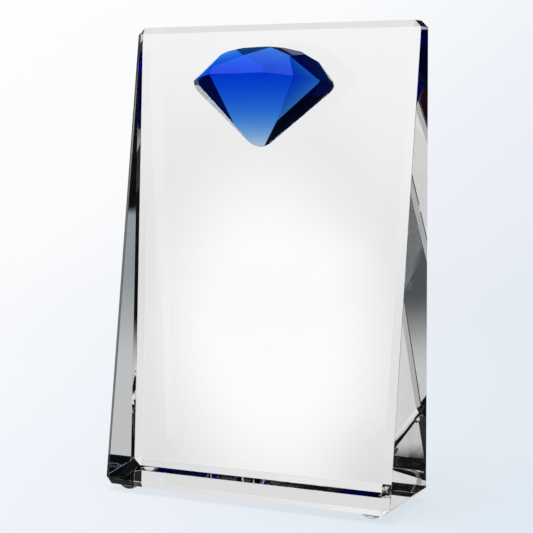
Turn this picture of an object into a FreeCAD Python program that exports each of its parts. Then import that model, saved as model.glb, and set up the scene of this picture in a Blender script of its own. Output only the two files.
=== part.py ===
import FreeCAD, Part
import math
import os

# Crystal award: a clear glass wedge block standing on four dome bumpers, with a blue
# flat-backed cut gem bonded near the top of its sloping front face.
# Frame: +Z up, +X to the viewer's right, the front faces -Y, millimetres.
# The origin is on the surface that the feet rest on, under the middle of the block.

# Block: vertical back, level bottom and top, front face leaning back
BLOCK_HEIGHT = 178.0
BLOCK_WIDTH = 120.0
BASE_DEPTH = 42.0             # sharp corner to sharp corner, before the edges are bevelled
TOP_DEPTH = 11.8
BEVEL = 2.6                   # leg of the ground bevel on every edge

# Feet: clear self-adhesive dome bumpers, one under each corner
FOOT_DIAMETER = 8.0
FOOT_HEIGHT = 2.0             # from its adhesive to the small worn flat that it rests on
FOOT_FLAT_DIAMETER = 2.8
FOOT_ADHESIVE_THICKNESS = 0.2
FOOT_ADHESIVE_DIAMETER = 7.6
FOOT_INSET_SIDE = 8.5         # foot centre from the block's side face
FOOT_INSET_FRONT = 6.8        # foot centre from the front face's foot
FOOT_INSET_BACK = 6.8

# Gem: outline in the plane of the front face, measured from the middle of its girdle
GEM_OFFSET = -0.8             # girdle centre from the block's middle
GEM_HEIGHT_ON_FACE = 158.7    # girdle centre above the front face's lower sharp corner
GEM_TOP = 12.2
GEM_CULET = -25.3
GEM_BLANK_DEPTH = 12.0        # blank that the facets are cut from
GEM_BOND_THICKNESS = 0.12
GEM_BOND_INSET = 0.4
GEM_HALF_OUTLINE = (          # right half, from the top centre to the culet
    (8.3, 12.0),
    (14.7, 10.7),
    (22.1, 6.7),
    (28.2, -0.5),
    (28.9, -2.4),
    (28.3, -3.8),
    (26.8, -5.3),
    (3.9, -24.0),
    (1.8, -25.0),
)

# Facets: direction that the facet falls away to (degrees from the gem's right, turning
# towards its top), tilt from the gem's flat back, and depth over the girdle's centre.
# They are hand cut, so the left half is not a mirror of the right.
PAVILION_FACETS = (
    (270.0, 20.8, 10.0),      # broad centre
    (240.6, 30.6, 15.25),     # left side
    (307.0, 39.1, 18.25),     # right side
    (230.6, 58.9, 36.1),      # left rim
    (307.7, 46.1, 22.2),      # right rim
    (216.6, 47.8, 30.2),      # left tip
    (312.5, 50.8, 27.1),      # right tip
)
CROWN_FACETS = (
    (91.8, 22.4, 10.95),      # broad left
    (78.1, 24.1, 11.45),      # broad right
    (84.8, 29.1, 11.75),      # upper centre
    (101.3, 39.0, 15.1),      # upper left
    (94.5, 43.3, 15.8),       # upper middle
    (72.7, 61.3, 27.75),      # upper right
    (132.1, 33.3, 18.9),      # left shoulder
    (48.8, 42.1, 19.8),       # right shoulder
    (132.0, 59.6, 36.4),      # left rim
    (50.0, 51.0, 24.5),       # right rim
)
GRINDING_REACH = 120.0        # side of the box that stands for what a facet grinds off

LEAN = math.atan((BASE_DEPTH - TOP_DEPTH) / BLOCK_HEIGHT)
STAND = FOOT_HEIGHT + FOOT_ADHESIVE_THICKNESS
# The bevel along the front's foot moves the foremost point back, so half of that move
# keeps the origin under the middle of the finished block.
FRONT_Y = -BASE_DEPTH / 2 - BEVEL * math.sin(LEAN) / 2
BACK_Y = FRONT_Y + BASE_DEPTH


def vector(x, y, z):
    return FreeCAD.Vector(x, y, z)


def crystal_block():
    """Wedge prism with every edge ground to an equal bevel."""
    side = [
        vector(-BLOCK_WIDTH / 2, FRONT_Y, STAND),
        vector(-BLOCK_WIDTH / 2, BACK_Y, STAND),
        vector(-BLOCK_WIDTH / 2, BACK_Y, STAND + BLOCK_HEIGHT),
        vector(-BLOCK_WIDTH / 2, BACK_Y - TOP_DEPTH, STAND + BLOCK_HEIGHT),
    ]
    profile = Part.Face(Part.makePolygon(side + side[:1]))
    wedge = profile.extrude(vector(BLOCK_WIDTH, 0, 0))
    return wedge.makeChamfer(BEVEL, wedge.Edges)


def half_space(azimuth, tilt, depth):
    """Everything that one facet grinds off, as a large box above the facet's plane."""
    half = GRINDING_REACH / 2
    waste = Part.makeBox(GRINDING_REACH, GRINDING_REACH, half, vector(-half, -half, 0))
    waste.rotate(vector(0, 0, 0), vector(0, 1, 0), tilt)
    waste.rotate(vector(0, 0, 0), vector(0, 0, 1), azimuth)
    waste.translate(vector(0, 0, depth))
    return waste


def gem_outline(inset=0.0):
    """Closed outline of the gem in its own plane, optionally pulled in from the edge."""
    right = [vector(x, y, 0) for x, y in GEM_HALF_OUTLINE]
    left = [vector(-point.x, point.y, 0) for point in reversed(right)]
    points = [vector(0, GEM_TOP, 0)] + right + [vector(0, GEM_CULET, 0)] + left
    face = Part.Face(Part.makePolygon(points + points[:1]))
    if inset:
        face = face.makeOffset2D(-inset)
    return face


def on_front_face(shape, lift):
    """Turn a shape drawn in the XY plane onto the front face, lifted along its normal."""
    placed = shape.copy()
    placed.translate(vector(GEM_OFFSET, GEM_HEIGHT_ON_FACE, lift))
    placed.rotate(vector(0, 0, 0), vector(1, 0, 0), 90 - math.degrees(LEAN))
    placed.translate(vector(0, FRONT_Y, STAND))
    return placed


def blue_gem():
    """Half of a cut diamond with a flat back, ground from a slab of its outline."""
    stone = gem_outline().extrude(vector(0, 0, GEM_BLANK_DEPTH))
    for facet in PAVILION_FACETS + CROWN_FACETS:
        stone = stone.cut(half_space(*facet))
    return on_front_face(stone.Solids[0], GEM_BOND_THICKNESS)


def gem_adhesive():
    """Film of clear adhesive between the gem's back and the front face."""
    film = gem_outline(GEM_BOND_INSET).extrude(vector(0, 0, GEM_BOND_THICKNESS))
    return on_front_face(film.Solids[0], 0.0)


def dome_foot():
    """Spherical cap, flat side up, with a small flat worn where it touches down."""
    base_radius = FOOT_DIAMETER / 2
    flat_radius = FOOT_FLAT_DIAMETER / 2
    centre_drop = (base_radius**2 - flat_radius**2 - FOOT_HEIGHT**2) / (2 * FOOT_HEIGHT)
    sphere_radius = math.hypot(base_radius, centre_drop)
    ball = Part.makeSphere(sphere_radius, vector(0, 0, FOOT_HEIGHT + centre_drop))
    slab = Part.makeCylinder(sphere_radius, FOOT_HEIGHT)
    return ball.common(slab).Solids[0]


def foot_adhesive():
    """Thin disc that holds a foot to the block's underside."""
    return Part.makeCylinder(
        FOOT_ADHESIVE_DIAMETER / 2, FOOT_ADHESIVE_THICKNESS, vector(0, 0, FOOT_HEIGHT)
    )


def foot_positions():
    """Corner names with the foot centres under them."""
    foot_x = BLOCK_WIDTH / 2 - FOOT_INSET_SIDE
    rows = (("front", FRONT_Y + FOOT_INSET_FRONT), ("back", BACK_Y - FOOT_INSET_BACK))
    columns = (("left", -foot_x), ("right", foot_x))
    return [(f"{row}_{column}", x, y) for row, y in rows for column, x in columns]


def sub_parts():
    parts = {
        "crystal_block": crystal_block(),
        "blue_gem": blue_gem(),
        "gem_adhesive": gem_adhesive(),
    }
    for corner, x, y in foot_positions():
        for name, shape in (("foot", dome_foot()), ("foot_adhesive", foot_adhesive())):
            shape.translate(vector(x, y, 0))
            parts[f"{name}_{corner}"] = shape
    return parts


os.makedirs("parts", exist_ok=True)
for node, solid in sub_parts().items():
    solid.exportStep(f"parts/{node}.step")
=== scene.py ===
import math

import bmesh
import bpy
from mathutils import Matrix, Vector
from mathutils.geometry import tessellate_polygon


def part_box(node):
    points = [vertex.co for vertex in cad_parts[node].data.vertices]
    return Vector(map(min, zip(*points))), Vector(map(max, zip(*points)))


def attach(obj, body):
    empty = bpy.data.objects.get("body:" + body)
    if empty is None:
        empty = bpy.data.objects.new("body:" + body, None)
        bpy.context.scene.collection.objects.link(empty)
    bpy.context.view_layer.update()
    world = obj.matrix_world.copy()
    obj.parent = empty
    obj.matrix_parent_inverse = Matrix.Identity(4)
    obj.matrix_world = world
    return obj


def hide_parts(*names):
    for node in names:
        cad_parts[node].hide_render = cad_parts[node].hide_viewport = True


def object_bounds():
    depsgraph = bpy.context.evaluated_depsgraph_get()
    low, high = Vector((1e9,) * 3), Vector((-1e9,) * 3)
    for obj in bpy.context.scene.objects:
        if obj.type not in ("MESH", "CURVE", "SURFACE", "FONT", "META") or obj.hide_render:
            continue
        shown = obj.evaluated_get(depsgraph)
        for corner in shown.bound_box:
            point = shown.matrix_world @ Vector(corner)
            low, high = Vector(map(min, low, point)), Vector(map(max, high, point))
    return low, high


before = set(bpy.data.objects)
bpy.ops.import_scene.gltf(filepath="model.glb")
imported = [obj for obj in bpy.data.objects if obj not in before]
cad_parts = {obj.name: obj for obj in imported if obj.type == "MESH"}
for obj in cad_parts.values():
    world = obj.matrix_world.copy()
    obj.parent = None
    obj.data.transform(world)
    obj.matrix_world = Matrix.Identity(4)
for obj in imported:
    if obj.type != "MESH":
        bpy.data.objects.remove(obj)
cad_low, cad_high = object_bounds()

# ---------------------------------------------------------------- sizes, metres and degrees
ARRIS = 0.00010                  # polished arris along every sharp edge of the block
GEM_ARRIS = 0.00007
SAME_POINT = 2e-6                # CAD mesh corners closer than this are one corner
FLAT_ANGLE = 0.4                 # CAD triangles that meet flatter than this are one face
ROUND_STEPS = 72                 # sides of a turned piece
DOME_STEPS = 12                  # bands up the side of a bumper foot
WORN_SHARE = 0.35                # worn flat of a bumper foot as a share of its radius
GLUE_CLEARANCE = 0.00001         # keeps glued faces from lying exactly on each other
PAD_PINCH = 0.00003              # how far the tape's flat faces stop short of its rim
FLOOR_RADIUS = 2.5
FLOOR_SIDES = 96
FLOOR_DROP = 0.0002              # floor below the feet's lowest point

CAMERA_YAW = 26.68               # the camera stands to the right of the front face
CAMERA_PITCH = 6.12              # and slightly above the middle of the block
CAMERA_ROLL = -0.37
CAMERA_DISTANCE = 0.5893
CAMERA_AIM = Vector((0.00203, -0.00022, -0.00159))   # from the middle of the object
CAMERA_LENS = 104.73             # millimetres, as is the sensor
SENSOR = 36.0
CLIP_START, CLIP_END = 0.01, 50.0

# ---------------------------------------------------------------- finishes
GLASS_IOR = 1.52
BUMPER_IOR = 1.49
COBALT = (0.05, 0.585, 0.98, 1.0)    # what a thick piece of the blue glass lets through
COBALT_DENSITY = 600.0           # per metre
BONDED = "bonded"                # face attribute: 1 where the gem is glued to the block
JOINED_SLOT = 1                  # a piece's second material, on its glued faces
FLOOR_COLOUR = (0.8, 0.84, 0.88, 1.0)
FLOOR_FADE_REACH = (0.1, 1.0)    # from the middle
FLOOR_CLEARNESS = (0.9, 1.0)     # share of the backdrop that shows through, near and far

FEET = ["foot_front_left", "foot_front_right", "foot_back_left", "foot_back_right"]
FOOT_PADS = [name.replace("foot_", "foot_adhesive_") for name in FEET]

UP = Vector((0, 0, 1))
scene = bpy.context.scene
centre = (cad_low + cad_high) / 2


# ---------------------------------------------------------------- node helpers
class Nodes:
    """Builds a node tree. add gives the node that it adds; the others give its result."""

    def __init__(self, tree):
        self.tree = tree
        tree.nodes.clear()

    def add(self, kind, inputs=None, **settings):
        node = self.tree.nodes.new(kind)
        for name, value in settings.items():
            setattr(node, name, value)
        for key, value in (inputs or {}).items():
            socket = node.inputs[key]
            if isinstance(value, bpy.types.NodeSocket):
                self.tree.links.new(value, socket)
            else:
                socket.default_value = value
        return node

    def math(self, operation, *values):
        return self.add("ShaderNodeMath", dict(enumerate(values)), operation=operation).outputs[0]

    def remap(self, value, from_min, from_max, to_min=0.0, to_max=1.0, smooth=False):
        return self.add(
            "ShaderNodeMapRange",
            {"Value": value, "From Min": from_min, "From Max": from_max,
             "To Min": to_min, "To Max": to_max},
            interpolation_type="SMOOTHSTEP" if smooth else "LINEAR").outputs[0]

    def mix(self, factor, a, b, **settings):
        return self.add("ShaderNodeMix", {0: factor, 6: a, 7: b}, data_type="RGBA",
                        **settings).outputs[2]

    def ramp(self, value, stops):
        node = self.tree.nodes.new("ShaderNodeValToRGB")
        self.tree.links.new(value, node.inputs[0])
        elements = node.color_ramp.elements
        elements[0].position, elements[0].color = stops[0]
        elements[1].position, elements[1].color = stops[-1]
        for position, colour in stops[1:-1]:
            elements.new(position).color = colour
        return node.outputs[0]

    def noise(self, vector, scale, detail=3.0, roughness=0.5):
        return self.add("ShaderNodeTexNoise", {
            "Vector": vector, "Scale": scale, "Detail": detail, "Roughness": roughness}).outputs[0]


def grey(level):
    return (level, level, level, 1.0)


def new_material(name):
    material = bpy.data.materials.new(name)
    material.use_nodes = True
    return material, Nodes(material.node_tree)


# ---------------------------------------------------------------- materials
def glass_material(name, colour_of, roughness_range, bump, ior=GLASS_IOR,
                   absorb=None, density=0.0, bonded=False):
    """Polished glass: wiping haze in the roughness and a barely felt polishing wave.
    Where a bonded piece is glued to other glass, nothing bends or mirrors the light."""
    material, n = new_material(name)
    place = n.add("ShaderNodeTexCoord").outputs["Object"]
    haze = n.noise(place, 45.0, 4.0, 0.6)
    along_wipe = n.add("ShaderNodeMapping", {
        "Vector": place, "Scale": (260.0, 260.0, 26.0), "Rotation": (0.0, 0.35, 0.0)}).outputs[0]
    streak = n.noise(along_wipe, 1.0, 2.0, 0.5)
    wiped = n.math("MULTIPLY", haze, streak)
    rough = n.remap(wiped, 0.2, 0.5, *roughness_range)
    wave = n.noise(place, 70.0, 2.0, 0.4)
    normal = n.add("ShaderNodeBump", {
        "Height": wave, "Strength": bump, "Distance": 0.0002}).outputs[0]
    shader = n.add("ShaderNodeBsdfPrincipled", {
        "Base Color": colour_of(n, place), "Roughness": rough, "Normal": normal,
        "IOR": ior, "Transmission Weight": 1.0})
    if bonded:
        glued = n.add("ShaderNodeAttribute", attribute_name=BONDED).outputs["Fac"]
        n.tree.links.new(n.remap(glued, 0.0, 1.0, ior, 1.0), shader.inputs["IOR"])
    out = n.add("ShaderNodeOutputMaterial", {"Surface": shader.outputs[0]})
    if absorb:
        volume = n.add("ShaderNodeVolumeAbsorption", {"Color": absorb, "Density": density})
        n.tree.links.new(volume.outputs[0], out.inputs["Volume"])
    return material


def joined_material(name):
    """Where two parts are bonded with a clear film that matches their glass, light passes
    straight through, but for a faint cloudiness and a few specks in the cured film."""
    material, n = new_material(name)
    place = n.add("ShaderNodeTexCoord").outputs["Object"]
    cloud = n.remap(n.noise(place, 120.0, 3.0), 0.3, 0.7)
    specks = n.remap(n.noise(place, 2400.0, 1.0), 0.74, 0.8)
    tint = n.mix(specks, n.mix(cloud, grey(0.995), grey(1.0)), grey(0.8))
    clear = n.add("ShaderNodeBsdfTransparent", {"Color": tint})
    n.add("ShaderNodeOutputMaterial", {"Surface": clear.outputs[0]})
    return material


def tape_material(name):
    """Double-sided tape: clear acrylic with a milky grain of tiny air marks."""
    material, n = new_material(name)
    place = n.add("ShaderNodeTexCoord").outputs["Object"]
    grain = n.noise(place, 1500.0, 3.0, 0.6)
    milk = n.remap(grain, 0.45, 0.75, 0.03, 0.2)
    colour = n.mix(n.noise(place, 300.0, 2.0), (0.78, 0.8, 0.8, 1.0), (0.9, 0.9, 0.88, 1.0))
    clear = n.add("ShaderNodeBsdfTransparent", {"Color": grey(0.98)}).outputs[0]
    paint = n.add("ShaderNodeBsdfDiffuse", {"Color": colour}).outputs[0]
    n.add("ShaderNodeOutputMaterial",
          {"Surface": n.add("ShaderNodeMixShader", {0: milk, 1: clear, 2: paint}).outputs[0]})
    return material


def crystal_colour(n, place):
    cloud = n.noise(place, 18.0, 2.0)
    return n.mix(cloud, (0.985, 0.992, 0.99, 1.0), (1.0, 1.0, 1.0, 1.0))


def gem_colour(n, place):
    cloud = n.noise(place, 90.0, 2.0)
    return n.mix(cloud, (0.94, 0.97, 1.0, 1.0), (1.0, 1.0, 1.0, 1.0))


def bumper_colour(n, place):
    cloud = n.noise(place, 400.0, 3.0)
    return n.mix(cloud, (0.9, 0.92, 0.92, 1.0), (0.99, 0.99, 0.98, 1.0))


CRYSTAL = glass_material("crystal_polished", crystal_colour, (0.0, 0.012), 0.02)
GEM = glass_material("gem_blue_glass", gem_colour, (0.0, 0.01), 0.01,
                     absorb=COBALT, density=COBALT_DENSITY, bonded=True)
JOINED = joined_material("clear_joint")
BUMPER = glass_material("clear_bumper", bumper_colour, (0.02, 0.09), 0.15, ior=BUMPER_IOR)
TAPE = tape_material("tape_adhesive")


# ---------------------------------------------------------------- meshes
def cleaned(node):
    """The CAD node's mesh as flat whole faces."""
    bm = bmesh.new()
    bm.from_mesh(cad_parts[node].data)
    bmesh.ops.remove_doubles(bm, verts=bm.verts, dist=SAME_POINT)
    bmesh.ops.dissolve_limit(bm, angle_limit=math.radians(FLAT_ANGLE),
                             verts=bm.verts, edges=bm.edges)
    bm.normal_update()
    return bm


def facing(bm, direction):
    """The largest flat face that looks along direction."""
    return max((f for f in bm.faces if f.normal.dot(direction) > 0.999),
               key=lambda f: f.calc_area())


def flat_loop(node, direction):
    """The corners, in order, of a node's largest flat face that looks along direction."""
    bm = cleaned(node)
    loop = [v.co.copy() for v in facing(bm, direction).verts]
    bm.free()
    return loop


def worn_edges(bm, edges, width, segments):
    """Rounds or flattens sharp edges over a narrow width."""
    bmesh.ops.bevel(bm, geom=edges, offset=width, offset_type="OFFSET", segments=segments,
                    profile=0.5, affect="EDGES", clamp_overlap=True)
    bm.normal_update()


def imprint(bm, face, loops, patch_slot):
    """Cuts closed outlines out of a flat face, fills each with a patch of its own, and gives
    the patches."""
    normal = face.normal.copy()
    face_slot = face.material_index
    outer = list(face.verts)
    inner = [[bm.verts.new(p) for p in loop] for loop in loops]
    every = outer + [v for loop in inner for v in loop]
    triangles = tessellate_polygon([[v.co for v in loop] for loop in [outer] + inner])
    bm.faces.remove(face)
    around = [bm.faces.new([every[i] for i in triangle]) for triangle in triangles]
    patches = [bm.faces.new(loop) for loop in inner]
    for faces, slot in ((around, face_slot), (patches, patch_slot)):
        for made in faces:
            made.normal_update()
            made.material_index = slot
            if made.normal.dot(normal) < 0:
                made.normal_flip()
    return patches


def finish_piece(name, bm, materials, node):
    """Makes the piece that stands for a CAD node, with the given materials, hangs it under the
    root and hides the node.
    """
    bm.normal_update()
    mesh = bpy.data.meshes.new(name)
    bm.to_mesh(mesh)
    bm.free()
    piece = bpy.data.objects.new(name, mesh)
    scene.collection.objects.link(piece)
    for material in materials:
        mesh.materials.append(material)
    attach(piece, "root")
    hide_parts(node)


def revolved(middle, profile, joined_bands=(), smooth_bands=()):
    """Turns a profile of (radius, height) points about the upright line through middle.
    A band is the surface between two neighbouring points; joined bands are glued faces."""
    bm = bmesh.new()
    turns = [2 * math.pi * k / ROUND_STEPS for k in range(ROUND_STEPS)]
    rings = []
    for radius, height in profile:
        steps = turns if radius else turns[:1]
        rings.append([bm.verts.new((middle.x + radius * math.cos(a),
                                    middle.y + radius * math.sin(a), height)) for a in steps])
    for band, (below, above) in enumerate(zip(rings, rings[1:])):
        for k in range(ROUND_STEPS):
            corners = [below[k % len(below)], below[(k + 1) % len(below)],
                       above[(k + 1) % len(above)], above[k % len(above)]]
            face = bm.faces.new(list(dict.fromkeys(corners)))   # a triangle at a centre point
            face.material_index = JOINED_SLOT if band in joined_bands else 0
            face.smooth = band in smooth_bands
    return bm


# the front face's own direction, from the bonded film's flat side
film = cleaned("gem_adhesive")
FRONT = max(film.faces, key=lambda f: f.calc_area()).normal.copy()
if FRONT.y > 0:
    FRONT.negate()
film.free()

block = cleaned("crystal_block")
worn_edges(block, list(block.edges), ARRIS, 2)
imprint(block, facing(block, FRONT), [flat_loop("gem_adhesive", -FRONT)], JOINED_SLOT)
imprint(block, facing(block, -UP), [flat_loop(pad, UP) for pad in FOOT_PADS], JOINED_SLOT)
finish_piece("crystal_body", block, [CRYSTAL, JOINED], "crystal_block")

gem = cleaned("blue_gem")
back = facing(gem, -FRONT)
worn_edges(gem, [e for e in gem.edges if back not in e.link_faces], GEM_ARRIS, 1)
glued = gem.faces.layers.float.new(BONDED)
for patch in imprint(gem, facing(gem, -FRONT), [flat_loop("gem_adhesive", FRONT)], 0):
    patch[glued] = 1.0
finish_piece("gem_body", gem, [GEM], "blue_gem")

film = cleaned("gem_adhesive")
for face in film.faces:
    if abs(face.normal.dot(FRONT)) > 0.9:
        face.material_index = JOINED_SLOT
        bmesh.ops.translate(film, verts=face.verts, vec=-GLUE_CLEARANCE * face.normal)
finish_piece("gem_bond_film", film, [CRYSTAL, JOINED], "gem_adhesive")

for foot, pad in zip(FEET, FOOT_PADS):
    low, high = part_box(foot)
    pad_low, pad_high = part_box(pad)
    radius, height = (high.x - low.x) / 2, high.z - low.z
    pad_radius = (pad_high.x - pad_low.x) / 2

    worn = radius * WORN_SHARE
    centre_rise = (radius**2 - worn**2 - height**2) / (2 * height)   # above the flat top
    ball = math.hypot(radius, centre_rise)
    dome = [(0.0, low.z), (worn, low.z)]
    for step in range(1, DOME_STEPS + 1):
        risen = height * step / DOME_STEPS
        below_centre = height + centre_rise - risen
        dome.append((math.sqrt(ball**2 - below_centre**2), low.z + risen))
    dome += [(pad_radius, high.z), (0.0, high.z)]
    bumper = revolved((low + high) / 2, dome, joined_bands=(len(dome) - 2,),
                      smooth_bands=range(1, DOME_STEPS + 1))
    finish_piece(foot.replace("foot", "bumper"), bumper, [BUMPER, JOINED], foot)

    middle = (pad_low + pad_high) / 2
    pinched = pad_radius - PAD_PINCH
    under, over = pad_low.z + GLUE_CLEARANCE, pad_high.z - GLUE_CLEARANCE
    disc = [(0.0, under), (pinched, under), (pad_radius, middle.z), (pinched, over), (0.0, over)]
    finish_piece(pad.replace("foot_adhesive", "bumper_tape"), revolved(middle, disc), [TAPE],
                 pad)

# ---------------------------------------------------------------- floor
floor_mesh = bpy.data.meshes.new("floor")
bm = bmesh.new()
bmesh.ops.create_circle(bm, cap_ends=True, segments=FLOOR_SIDES, radius=FLOOR_RADIUS)
bm.to_mesh(floor_mesh)
bm.free()
floor = bpy.data.objects.new("floor", floor_mesh)
floor.location.z = cad_low.z - FLOOR_DROP
scene.collection.objects.link(floor)
# a pale sheet that fades out into the backdrop, so that only a soft shadow shows on it
material, n = new_material("pale_floor")
place = n.add("ShaderNodeTexCoord").outputs["Object"]
reach = n.add("ShaderNodeVectorMath", {0: place}, operation="LENGTH").outputs["Value"]
fade = n.remap(reach, *FLOOR_FADE_REACH, *FLOOR_CLEARNESS, smooth=True)
paint = n.add("ShaderNodeBsdfDiffuse", {"Color": FLOOR_COLOUR}).outputs[0]
clear = n.add("ShaderNodeBsdfTransparent").outputs[0]
n.add("ShaderNodeOutputMaterial",
      {"Surface": n.add("ShaderNodeMixShader", {0: fade, 1: paint, 2: clear}).outputs[0]})
floor_mesh.materials.append(material)
floor.visible_transmission = False
floor.visible_glossy = False

# ---------------------------------------------------------------- studio
# The light that reaches the glass. Directions are azimuth (0 behind the block, 90 to its
# right, 180 in front) and elevation, in degrees.
TENT = (0.76, 0.765, 0.77, 1.0)
BACKDROP_AZIMUTH = -27.0
BACKDROP_EDGE = (28, 40)         # where the backdrop starts and ends fading, to either side
GLOW_ELEVATION = -14.0
GLOW_SIZE = (5.8, 7.5)           # reach to the side and up or down
GLOW_EDGE = (0.35, 1.05)         # where it starts and ends fading, as shares of its reach
GLOW = 0.25
BACKDROP_LEVELS = (              # elevation and level
    (-90, 0.80), (-26, 0.88), (-21.5, 0.87), (-18, 0.82), (-15, 0.81), (-12, 0.80),
    (-10, 0.835), (-8, 0.885), (-6, 0.92), (-2, 0.965), (8, 0.86), (12.5, 0.91),
    (15, 0.80), (30, 0.74), (90, 0.74),
)
# Soft-edged cards and dark flags, each over those before it: name, azimuth, half width,
# from and to elevation, softness of sides, bottom and top, colour
CARDS = (
    ("face_low_right", -22, 2.8, -21, -17.5, 2.6, 1.5, 1.9, (0.77, 0.77, 0.77)),
    ("face_low_left", -32.2, 1.2, -22, -18.3, 2, 1.7, 1.2, (0.8, 0.8, 0.8)),
    ("face_right", -24.1, 1.05, -11.9, -9.4, 1.3, 2, 2.6, (0.85, 0.85, 0.85)),
    ("dark_room", 154, 150, -1, 100, 4, 5, 1, (0.012, 0.012, 0.012)),
    ("floor_right", 43, 40, -34, -9, 6, 16, 2, (0.56, 0.57, 0.58)),
    ("floor_right_far", 40, 30, -13.6, -6, 6, 4, 2, (0.30, 0.33, 0.35)),
    ("floor_left", -92, 40, -45, -22, 16, 8, 8, (0.52, 0.52, 0.52)),
    ("front_left", -157, 12, -26.4, -19, 8, 3, 3, (0.11, 0.12, 0.13)),
    ("front_left_low", -151, 16, -44, -33, 6, 4, 2, (0.012, 0.004, 0.007)),
    ("front_right_flag", 147.5, 4, -26, -6, 3, 3, 3, (0.02, 0.02, 0.02)),
    ("left_flag", -117.6, 3.5, -22, -14, 2, 2, 3, (0.02, 0.02, 0.02)),
    ("left_level", -104, 12, -6, 20, 3, 3, 3, (0.01, 0.004, 0.004)),
    ("floor_left_low", -79, 12, -66, -50, 6, 4, 4, (0.15, 0.15, 0.15)),
    ("floor_front_a", 171, 9, -61, -46, 4, 3, 3, (0.02, 0.02, 0.02)),
    ("floor_front_b", -148, 9, -60, -44, 4, 3, 3, (0.02, 0.02, 0.02)),
    ("floor_front_c", 120, 9, -57, -32, 4, 3, 3, (0.02, 0.02, 0.02)),
    ("wall_edge_low", 9.5, 3.5, -24, -8, 2, 4, 4, (0.20, 0.20, 0.20)),
    ("wall_edge", 8, 5, -7, 60, 3, 6, 4, (0.02, 0.02, 0.02)),
    ("wall_right_near", 20, 7.5, -17, 60, 3, 2, 4, (0.005, 0.005, 0.005)),
    ("wall_right_a", 31, 19, -9.6, 60, 6, 0.4, 4, (0.002, 0.003, 0.004)),
    ("wall_right_b", 64, 16, -24, 60, 6, 2, 4, (0.004, 0.004, 0.004)),
    ("wall_right_c", 105, 27, -17, 60, 6, 3, 4, (0.03, 0.028, 0.028)),
    ("wall_left_end", -66, 10.5, -14, 60, 3, 4, 4, (0.03, 0.03, 0.03)),
    ("flag_left", -46, 3.8, 7, 17, 0.8, 1.5, 2, (0.004, 0.004, 0.01)),
    ("flag_middle", -40.3, 1.7, 9.5, 14, 1, 1.5, 1.5, (0.5, 0.5, 0.5)),
    ("flag_right", -18.5, 2, 8.5, 13.7, 1.2, 1.2, 1.2, (0.012, 0.02, 0.05)),
    ("gem_backdrop", -27, 3, 3.5, 8.5, 2, 2, 2, (0.66, 0.66, 0.72)),
    ("gem_above", 0.5, 3, 27.5, 31.5, 2, 2, 2, (0.2, 0.2, 0.2)),
    ("gem_shoulder", -48.5, 2.5, -24, -18.5, 2, 2, 2, (0.5, 0.5, 0.5)),
    ("gem_rim", -57, 2.6, -31, -18.5, 1.2, 3, 2, (0.004, 0.004, 0.004)),
    ("gem_rim_light", -60.95, 0.75, -28.4, -24.8, 0.3, 0.6, 0.6, (2.3, 2.3, 2.3)),
    ("gem_upper", -31, 2.2, -37, -33.6, 1, 1, 1, (0.2, 0.2, 0.2)),
    ("flag_high", -40.5, 2.2, 22.8, 26.5, 1, 1, 1, (0.3, 0.25, 0.08)),
    ("edge_line", -34.3, 1.2, -3.2, -0.4, 0.6, 0.8, 0.8, (0.0, 0.0, 0.0)),
    ("flag_corner", -39, 1.8, -20.5, -15.2, 1, 1.5, 1.5, (0.3, 0.2, 0.06)),
    ("flag_strip", -41, 3, -40, -33.5, 2, 2, 2, (0.1, 0.1, 0.1)),
    ("gem_front", -152, 4, -24, -11, 3, 3, 3, (0.0, 0.0, 0.0)),
    ("gem_front_right", 140, 7, -57, -28, 4, 4, 4, (0.003, 0.003, 0.003)),
    ("gem_left", -116, 3, -27, -21, 1.5, 2, 2, (0.006, 0.006, 0.006)),
    ("gem_front_low", 158, 4, -47, -37, 3, 3, 3, (0.0, 0.0, 0.0)),
    ("ceiling", -24, 181, 30.7, 100, 0.1, 0.8, 1, (0.006, 0.006, 0.006)),
    ("backdrop_top", -35, 10, 30.0, 40, 0.5, 0.6, 1, (0.006, 0.006, 0.006)),
    ("under_back", -42, 24, -68, -46, 4, 4, 2, (0.02, 0.02, 0.02)),
    ("under_right", 52, 16, -66, -41, 6, 4, 4, (0.02, 0.02, 0.02)),
    ("nadir", 0, 181, -91, -68, 1, 1, 4, (0.03, 0.03, 0.03)),
    ("flag_low_left", -68.5, 5, -48, -38.5, 2, 1.5, 1.5, (0.01, 0.01, 0.01)),
    ("flag_low_far_left", -79.7, 2.2, -29, -23.5, 1.5, 1.5, 1.5, (0.01, 0.01, 0.01)),
    ("flag_low_right", 82, 3.5, -41, -35, 2, 2, 2, (0.01, 0.01, 0.01)),
    ("behind_low", -1, 3.5, 12, 24, 2, 2, 2, (0.02, 0.02, 0.02)),
    ("flag_foot", -136, 3, -35, -29, 1.5, 1.5, 1.5, (0.01, 0.01, 0.01)),
    ("flag_low_side", 116, 5, -64, -56, 1.5, 1.5, 1.5, (0.01, 0.01, 0.01)),
    ("flag_low_back", 12, 4, -67, -61, 1.5, 1.5, 1.5, (0.01, 0.01, 0.01)),
    ("under_left", -120, 9, -60, -46, 4, 4, 2, (0.03, 0.03, 0.03)),
)
# The pale backdrop that the camera itself sees: how far along it, and its colour
SEEN_RANGE = (-0.6, 0.02)
SEEN_COLOURS = (
    (0.0, (0.99, 0.99, 0.99, 1.0)),
    (0.29, (0.955, 0.965, 0.98, 1.0)),
    (0.48, (0.865, 0.892, 0.94, 1.0)),
    (0.73, (0.79, 0.838, 0.893, 1.0)),
    (1.0, (0.72, 0.80, 0.868, 1.0)),
)

world = bpy.data.worlds.new("studio")
scene.world = world
world.use_nodes = True
n = Nodes(world.node_tree)
direction = n.add("ShaderNodeTexCoord").outputs["Generated"]
parts = n.add("ShaderNodeSeparateXYZ", {"Vector": direction}).outputs
azimuth = n.math("MULTIPLY", n.math("ARCTAN2", parts[0], parts[1]), 180 / math.pi)
elevation = n.math("MULTIPLY", n.math("ARCSINE", parts[2]), 180 / math.pi)


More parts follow.
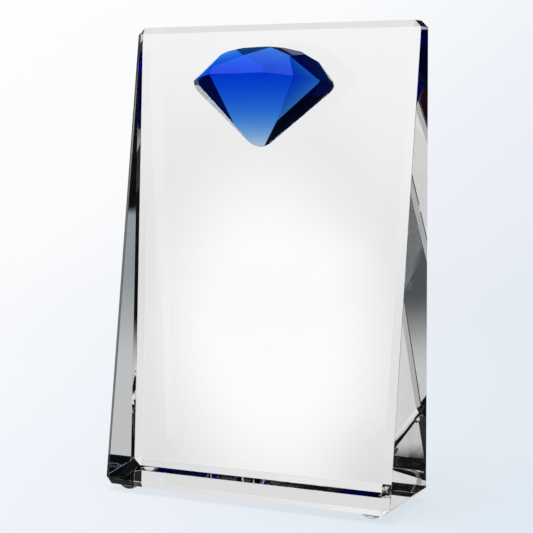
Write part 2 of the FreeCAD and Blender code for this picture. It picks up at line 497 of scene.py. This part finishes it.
def turned(centre_azimuth):
    """Degrees to the side of an azimuth, from -180 to 180."""
    return n.math("WRAP", n.math("SUBTRACT", azimuth, centre_azimuth), 180.0, -180.0)


def squared(value):
    return n.math("MULTIPLY", value, value)


def card_mask(centre_azimuth, half_width, low, high, soft_side, soft_low, soft_high):
    """1 inside a soft-edged card hung in the studio, 0 outside it."""
    side = n.remap(n.math("ABSOLUTE", turned(centre_azimuth)),
                   half_width - soft_side / 2, half_width + soft_side / 2, 1.0, 0.0, smooth=True)
    above = n.remap(elevation, low - soft_low / 2, low + soft_low / 2, smooth=True)
    below = n.remap(elevation, high - soft_high / 2, high + soft_high / 2, 1.0, 0.0, smooth=True)
    return n.math("MULTIPLY", n.math("MULTIPLY", side, above), below)


across = turned(BACKDROP_AZIMUTH)
backdrop_mask = n.remap(n.math("ABSOLUTE", across), *BACKDROP_EDGE, 1.0, 0.0, smooth=True)
backdrop_shade = n.ramp(n.remap(elevation, -90, 90),
                        [((at + 90) / 180, grey(level)) for at, level in BACKDROP_LEVELS])
tent = n.mix(backdrop_mask, TENT, backdrop_shade)
for _, *shape, colour in CARDS:
    tent = n.mix(card_mask(*shape), tent, colour + (1.0,))
glow_across = n.math("DIVIDE", across, GLOW_SIZE[0])
glow_above = n.math("DIVIDE", n.math("SUBTRACT", elevation, GLOW_ELEVATION), GLOW_SIZE[1])
glow_reach = n.math("SQRT", n.math("ADD", squared(glow_across), squared(glow_above)))
glow = n.remap(glow_reach, *GLOW_EDGE, GLOW, 0.0, smooth=True)
glow_colour = n.add("ShaderNodeCombineColor", {0: glow, 1: glow, 2: glow}).outputs[0]
lit = n.mix(1.0, tent, glow_colour, blend_type="ADD")

seen = n.math("SUBTRACT", n.math("MULTIPLY", parts[0], 0.9), parts[2])
backdrop = n.ramp(n.remap(seen, *SEEN_RANGE), SEEN_COLOURS)
is_camera = n.add("ShaderNodeLightPath").outputs["Is Camera Ray"]
light = n.add("ShaderNodeBackground", {"Color": n.mix(is_camera, lit, backdrop)})
n.add("ShaderNodeOutputWorld", {"Surface": light.outputs[0]})


def softbox(name, size, energy, place, away_from, mirrored):
    """A round softbox that shines straight away from a direction and never shows through
    the glass; mirrored says whether the glass mirrors it."""
    light = bpy.data.lights.new(name, "AREA")
    light.shape = "DISK"
    light.size = size
    light.energy = energy
    box = bpy.data.objects.new(name, light)
    box.location = place
    box.rotation_euler = Vector(away_from).to_track_quat("Z", "Y").to_euler()
    box.visible_glossy = mirrored
    box.visible_transmission = False
    scene.collection.objects.link(box)


softbox("overhead_softbox", 1.2, 30.0, (-0.1, -0.2, 1.4), (0, 0, 1), False)
softbox("crown_softbox", 0.6, 0.4, (-0.42, -0.35, 1.23), (-0.42, -0.35, 1.07), True)

# ---------------------------------------------------------------- camera
yaw, pitch, roll = (math.radians(a) for a in (CAMERA_YAW, CAMERA_PITCH, CAMERA_ROLL))
away = Vector((math.sin(yaw) * math.cos(pitch), -math.cos(yaw) * math.cos(pitch),
               math.sin(pitch)))
level_right = (-away).cross(UP).normalized()
level_up = level_right.cross(-away)
right = math.cos(roll) * level_right + math.sin(roll) * level_up
up = -math.sin(roll) * level_right + math.cos(roll) * level_up
camera = bpy.data.objects.new("camera", bpy.data.cameras.new("camera"))
scene.collection.objects.link(camera)
camera.data.sensor_width = SENSOR
camera.data.lens = CAMERA_LENS
camera.data.clip_start = CLIP_START
camera.data.clip_end = CLIP_END
turn = Matrix((right, up, away)).transposed()
stand = centre + CAMERA_AIM + CAMERA_DISTANCE * away
camera.matrix_world = Matrix.Translation(stand) @ turn.to_4x4()
scene.camera = camera

scene.view_settings.view_transform = "Standard"
# light crosses the glass and mirrors inside it many times before it leaves
scene.cycles.max_bounces = 32
scene.cycles.transmission_bounces = 32
scene.cycles.glossy_bounces = 16
scene.cycles.transparent_max_bounces = 32
scene.cycles.sample_clamp_indirect = 0.0
